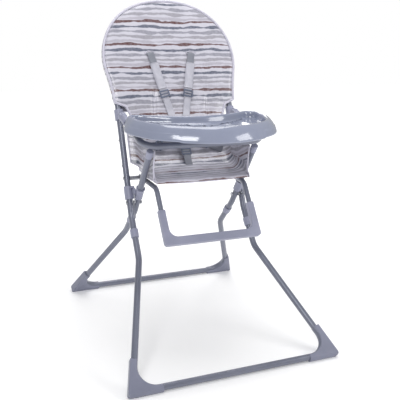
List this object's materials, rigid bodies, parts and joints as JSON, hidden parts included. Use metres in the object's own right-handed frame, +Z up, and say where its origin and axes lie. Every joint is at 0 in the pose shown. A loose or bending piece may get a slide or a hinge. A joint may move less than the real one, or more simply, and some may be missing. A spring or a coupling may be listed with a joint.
{
  "type": "baby high chair",
  "caption": "Folding baby high chair with crossed tube frames, an oval padded back, five point harness, kidney-shaped tray and a footrest below the seat.",
  "frame": {"origin": "on the floor, at the centre of the bounding box, midway between the front and rear floor bars", "axes": "+Z up; the chair faces -Y; +X is the chair's left-right axis, and the chair is symmetric about X = 0"},
  "size_m": [0.6814, 0.769, 1.0525],
  "materials": {
    "tube_paint": "satin",
    "fitting_plastic": "satin",
    "tray_plastic": "gloss",
    "printed_cover": "coated, striped print",
    "webbing": "woven",
    "buckle_plastic": "satin",
    "steel": "satin"
  },
  "bodies": {
    "frame": {"back_tube": "tube_paint", "front_leg_tube": "tube_paint", "front_joint_sleeve_left": "fitting_plastic", "front_joint_sleeve_right": "fitting_plastic", "front_foot_left": "fitting_plastic", "front_foot_right": "fitting_plastic", "arm_clamp_left": "fitting_plastic", "arm_clamp_right": "fitting_plastic", "frame_rivets": "steel", "frame_pivot_bolts": "steel", "seat_pivot_bolts": "steel", "back_pad": "printed_cover", "back_rear_panel": "printed_cover", "side_wing_left": "printed_cover", "side_wing_right": "printed_cover", "shoulder_strap_left": "webbing", "shoulder_strap_right": "webbing", "shoulder_sleeve_left": "webbing", "shoulder_sleeve_right": "webbing", "shoulder_adjuster_left": "buckle_plastic", "shoulder_adjuster_right": "buckle_plastic", "waist_strap_left": "webbing", "waist_strap_right": "webbing", "waist_adjuster_left": "buckle_plastic", "waist_adjuster_right": "buckle_plastic", "crotch_strap": "webbing", "crotch_adjuster": "buckle_plastic", "buckle_housing": "buckle_plastic", "buckle_tongue_left": "buckle_plastic", "buckle_tongue_right": "buckle_plastic"},
    "rear_legs": {"rear_post_left": "tube_paint", "rear_post_right": "tube_paint", "rear_leg_tube": "tube_paint", "rear_joint_sleeve_left": "fitting_plastic", "rear_joint_sleeve_right": "fitting_plastic", "rear_foot_left": "fitting_plastic", "rear_foot_right": "fitting_plastic", "post_cap_left": "fitting_plastic", "post_cap_right": "fitting_plastic", "lock_collar_left": "fitting_plastic", "lock_collar_right": "fitting_plastic"},
    "arms": {"arm_tube": "tube_paint", "arm_socket_left": "fitting_plastic", "arm_socket_right": "fitting_plastic"},
    "tray": {"tray": "tray_plastic", "tray_clip_left": "fitting_plastic", "tray_clip_right": "fitting_plastic"},
    "seat": {"seat_tube": "tube_paint", "footrest_cover": "fitting_plastic", "seat_pad": "printed_cover", "seat_valance": "printed_cover"},
    "lock_left": {"lock_slider_left": "fitting_plastic", "lock_pull_wire_left": "steel"},
    "lock_right": {"lock_slider_right": "fitting_plastic", "lock_pull_wire_right": "steel"},
    "buckle_button": {"buckle_button": "buckle_plastic"}
  },
  "joints": [
    {"name": "main_fold", "type": "hinge", "parent": "frame", "child": "rear_legs", "pos_m": [0, 0.058, 0.424], "axis": [-1, 0, 0], "range_deg": [0, 42]},
    {"name": "arm_fold", "type": "hinge", "parent": "frame", "child": "arms", "pos_m": [0, 0.14275, 0.69057], "axis": [1, 0, 0], "range_deg": [0, 13]},
    {"name": "seat_fold", "type": "hinge", "parent": "frame", "child": "seat", "pos_m": [0, 0.0905, 0.497], "axis": [1, 0, 0], "range_deg": [0, 38], "deforming": ["side_wing_left", "side_wing_right", "crotch_strap"]},
    {"name": "tray_slide", "type": "slide", "parent": "arms", "child": "tray", "axis": [0, -0.9687, -0.2483], "range_m": [0, 0.045]},
    {"name": "lock_left_slide", "type": "slide", "parent": "frame", "child": "lock_left", "axis": [0, 0.4067, 0.9135], "range_m": [0, 0.018]},
    {"name": "lock_right_slide", "type": "slide", "parent": "frame", "child": "lock_right", "axis": [0, 0.4067, 0.9135], "range_m": [0, 0.018]},
    {"name": "buckle_press", "type": "slide", "parent": "frame", "child": "buckle_button", "axis": [0, 0.9135, -0.4067], "range_m": [0, 0.002], "stiffness_N_per_m": 300, "springref_m": -0.001}
  ],
  "couplings": [
    {"joint": "arm_fold", "follows": "main_fold", "ratio": 0.3},
    {"joint": "seat_fold", "follows": "main_fold", "ratio": 0.9}
  ]
}
